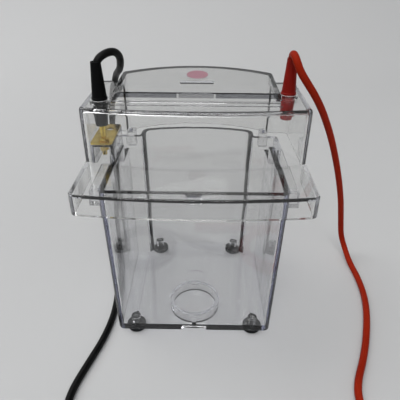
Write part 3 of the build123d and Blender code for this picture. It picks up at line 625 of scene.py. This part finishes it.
def clear_plastic(name, tint, density, ripple, mask, painted_shade):
    """Clear moulded plastic with a tint that grows with the way through it, and painted shade in one place.
    """
    material, nodes, links = new_material(name)
    place = add_node(nodes, "ShaderNodeTexCoord")
    stretch = add_node(nodes, "ShaderNodeMapping", {"Scale": RIPPLE_SCALE})
    waves = add_node(nodes, "ShaderNodeTexNoise", {"Scale": 1.0, "Detail": 2})
    bump = add_node(nodes, "ShaderNodeBump", {"Strength": ripple, "Distance": RIPPLE_DEPTH})
    shader = add_node(nodes, "ShaderNodeBsdfPrincipled", CLEAR_SURFACE)
    through = add_node(nodes, "ShaderNodeBsdfTransparent", {"Color": PASSES_SHADOW_RAYS})
    ray = add_node(nodes, "ShaderNodeLightPath")
    mix = add_node(nodes, "ShaderNodeMixShader")
    volume = add_node(nodes, "ShaderNodeVolumeAbsorption", {"Color": (*tint, 1), "Density": density})
    out = add_node(nodes, "ShaderNodeOutputMaterial")
    # The base colour goes from the clear colour to the painted shade where the mask is 1.
    colour = add_node(nodes, "ShaderNodeMix")
    colour.data_type = "RGBA"
    colour.inputs[MIX_FIRST].default_value = CLEAR
    colour.inputs[MIX_SECOND].default_value = (*painted_shade, 1)
    join(
        links,
        (place.outputs["Object"], stretch.inputs["Vector"]),
        (stretch.outputs["Vector"], waves.inputs["Vector"]),
        (waves.outputs["Fac"], bump.inputs["Height"]),
        (bump.outputs["Normal"], shader.inputs["Normal"]),
        (mask(nodes, links, place), colour.inputs[MIX_FACTOR]),
        (colour.outputs[MIX_COLOUR], shader.inputs["Base Color"]),
        (ray.outputs["Is Shadow Ray"], mix.inputs["Fac"]),
        (shader.outputs["BSDF"], mix.inputs[1]),
        (through.outputs["BSDF"], mix.inputs[2]),
        (mix.outputs["Shader"], out.inputs["Surface"]),
        (volume.outputs["Volume"], out.inputs["Volume"]),
    )
    print(name, "has", len(nodes), "nodes")
    return material


# The chamber's painted shade lies on the top of its walls, the lid's on the step of its deck.
chamber_plastic = clear_plastic(
    "clear_chamber_plastic",
    tint=(0.30, 0.34, 0.62),
    density=12,
    ripple=0.08,
    mask=rim_painted_shade_mask,
    painted_shade=(0.010, 0.011, 0.040),
)
lid_plastic = clear_plastic(
    "clear_lid_plastic",
    tint=(0.30, 0.34, 0.55),
    density=6,
    ripple=0.10,
    mask=step_painted_shade_mask,
    painted_shade=(0.10, 0.105, 0.118),
)

# %% [markdown]
# ## Smooth copies of the two clear mouldings
#
# The CAD model comes as loose triangles, which shade flat. On clear plastic every facet would show
# as a line. So we copy each moulding, join its corners, and shade it smooth except where two faces
# meet at a sharp edge. The Weighted Normal modifier then keeps the large flat faces truly flat next
# to their small rounded edges. The copy stands for the CAD node, which is hidden. The lid's copy is
# raised by a hair, so that it and the rim under it never share one surface.

# %% Smooth copies
JOIN_WITHIN = 2e-6
SHARP_FROM = math.radians(32)
HAIR = 0.00005


def smooth_copy(node, name, material, body, lift=0.0):
    """A joined and smooth shaded copy of a CAD node that stands for it, raised a little if asked."""
    work = bmesh.new()
    work.from_mesh(frame["nodes"][node].data)
    bmesh.ops.remove_doubles(work, verts=work.verts, dist=JOIN_WITHIN)
    bmesh.ops.translate(work, verts=work.verts, vec=(0, 0, lift))
    for edge in work.edges:
        edge.smooth = len(edge.link_faces) == 2 and edge.calc_face_angle() < SHARP_FROM
    for face in work.faces:
        face.smooth = True
    mesh = bpy.data.meshes.new(name)
    work.to_mesh(mesh)
    work.free()
    mesh.materials.clear()
    mesh.materials.append(material)
    piece = bpy.data.objects.new(name, mesh)
    scene.collection.objects.link(piece)
    weighted = piece.modifiers.new("flat faces", "WEIGHTED_NORMAL")
    weighted.keep_sharp = True
    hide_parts(node)
    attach(piece, body)
    print(name, "has", len(mesh.polygons), "faces and", len(mesh.vertices), "corners")
    return piece


smooth_copy("buffer_chamber", "clear_buffer_chamber", chamber_plastic, "root")
lid = smooth_copy("lid_shell", "clear_safety_lid", lid_plastic, "lid", lift=HAIR)

# %% [markdown]
# ## The coloured dot on the deck
#
# A plain oval print lies on the lid's deck, behind the vent. It's a disc with one ring inside, pulled
# to an oval and laid on the lid with rays that look straight down. It's raised by a hair, so that the
# two surfaces never coincide. A print this thin needs no thickness of its own, but a closed piece
# renders more safely, so it's given a twentieth of a millimetre.

# %% Dot
DOT_CENTRE = (0.0, 0.0428)
DOT_HALF = (0.0077, 0.0094)
DOT_SIDES = 64
DOT_RING = 0.12
DOT_GAP = 0.00006
DOT_THICKNESS = 0.00005
OVER_THE_LID = 0.2

work = bmesh.new()
bmesh.ops.create_circle(work, cap_ends=True, segments=DOT_SIDES, radius=1.0)
bmesh.ops.inset_region(work, faces=work.faces[:], thickness=DOT_RING)
for vertex in work.verts:
    x, y = (middle + half * value for middle, half, value in zip(DOT_CENTRE, DOT_HALF, vertex.co))
    _, spot, _, _ = lid.ray_cast((x, y, OVER_THE_LID), (0, 0, -1))
    vertex.co = spot + Vector((0, 0, DOT_GAP))
bmesh.ops.solidify(work, geom=work.faces[:], thickness=-DOT_THICKNESS)
bmesh.ops.recalc_face_normals(work, faces=work.faces)
dot_mesh = bpy.data.meshes.new("deck_dot")
work.to_mesh(dot_mesh)
work.free()
dot = bpy.data.objects.new("deck_dot", dot_mesh)
scene.collection.objects.link(dot)
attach(dot, "lid")
dot_low, dot_high = dot.bound_box[0], dot.bound_box[6]
print("dot in millimetres:", [round(1000 * v, 2) for v in (*dot_low, *dot_high)])

# %% [markdown]
# ## Solid finishes
#
# Rubber, moulded plastic, lead sheath and plated metal are all the same shader with other numbers.
# What makes each look real is small: a cloud of slightly different colour, a roughness that isn't
# the same all over, and a fine bump.

# %% Solid materials
CLOUD_SCALE = 60
CLOUD_DETAIL = 4
CLOUD_DARK = 0.3
CLOUD_LIGHT = 0.7
GRAIN_SCALE = 4000
GRAIN = {"Strength": 0.2, "Distance": 0.00005}
GLOSS_SPREAD = 0.06


def solid_finish(name, low, high, roughness, metallic, specular):
    """A procedural finish: a colour between two tones, uneven gloss and a fine bump."""
    material, nodes, links = new_material(name)
    place = add_node(nodes, "ShaderNodeTexCoord")
    cloud = add_node(nodes, "ShaderNodeTexNoise", {"Scale": CLOUD_SCALE, "Detail": CLOUD_DETAIL})
    grain = add_node(nodes, "ShaderNodeTexNoise", {"Scale": GRAIN_SCALE})
    bumps = add_node(nodes, "ShaderNodeBump", GRAIN)
    surface = {"Metallic": metallic, "Specular IOR Level": specular}
    shader = add_node(nodes, "ShaderNodeBsdfPrincipled", surface)
    out = add_node(nodes, "ShaderNodeOutputMaterial")
    shape = cloud.outputs["Fac"]
    gloss = between(nodes, links, shape, (0.0, 1.0), roughness - GLOSS_SPREAD, roughness + GLOSS_SPREAD)
    join(
        links,
        (place.outputs["Object"], cloud.inputs["Vector"]),
        (place.outputs["Object"], grain.inputs["Vector"]),
        (two_tones(nodes, links, shape, (CLOUD_DARK, low), (CLOUD_LIGHT, high)), shader.inputs["Base Color"]),
        (gloss, shader.inputs["Roughness"]),
        (grain.outputs["Fac"], bumps.inputs["Height"]),
        (bumps.outputs["Normal"], shader.inputs["Normal"]),
        (shader.outputs["BSDF"], out.inputs["Surface"]),
    )
    return material


finishes = {}
for name, low, high, roughness, metallic, specular in (
    ("foot_rubber", (0.006, 0.0065, 0.0075), (0.014, 0.015, 0.017), 0.65, 0.0, 0.15),
    ("gold_plating", (0.46, 0.31, 0.04), (1.0, 0.76, 0.15), 0.13, 1.0, 0.5),
    ("contact_metal", (0.66, 0.64, 0.58), (0.78, 0.76, 0.70), 0.28, 1.0, 0.5),
    ("black_moulding", (0.001, 0.001, 0.0012), (0.003, 0.003, 0.0035), 0.45, 0.0, 0.12),
    ("red_moulding", (0.17, 0.005, 0.004), (0.23, 0.008, 0.006), 0.40, 0.0, 0.2),
    ("black_boot_rubber", (0.0008, 0.0008, 0.001), (0.002, 0.002, 0.0024), 0.55, 0.0, 0.08),
    ("red_boot_rubber", (0.19, 0.005, 0.002), (0.25, 0.007, 0.003), 0.42, 0.0, 0.12),
    ("black_lead_sheath", (0.001, 0.001, 0.001), (0.003, 0.003, 0.003), 0.45, 0.0, 0.12),
    ("red_lead_sheath", (0.25, 0.012, 0.002), (0.31, 0.018, 0.004), 0.50, 0.0, 0.06),
    ("dot_print", (0.30, 0.15, 0.18), (0.38, 0.20, 0.24), 0.45, 0.0, 0.2),
):
    finishes[name] = solid_finish(name, low, high, roughness, metallic, specular)
print("finishes:", sorted(finishes))

# %% [markdown]
# ## Every piece gets its finish
#
# The record says which finish each CAD node has, by a slot's name, so the finishes carry those names.
# The two clear mouldings have their own material already. The dot and the leads are new pieces, so
# they are given theirs by hand.

# %% Give out the finishes
def dress(mesh, finish):
    """Give a mesh this finish and no other."""
    mesh.materials.clear()
    mesh.materials.append(finishes[finish])


dressed = [row for row in frame["record"]["subparts"] if row["material_slot"] in finishes]
for row in dressed:
    dress(frame["nodes"][row["node"]].data, row["material_slot"])
dress(dot_mesh, "dot_print")
for colour, lead in leads.items():
    dress(lead.data, colour + "_lead_sheath")
print("CAD nodes dressed:", len(dressed))

# %% [markdown]
# ## The finished model's box
#
# The finished model should fill the same box as the CAD model. Its box is printed.

# %% Sizes and finish
low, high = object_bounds()
print("visual box in millimetres:", [round(1000 * v, 1) for v in (*low, *high)])
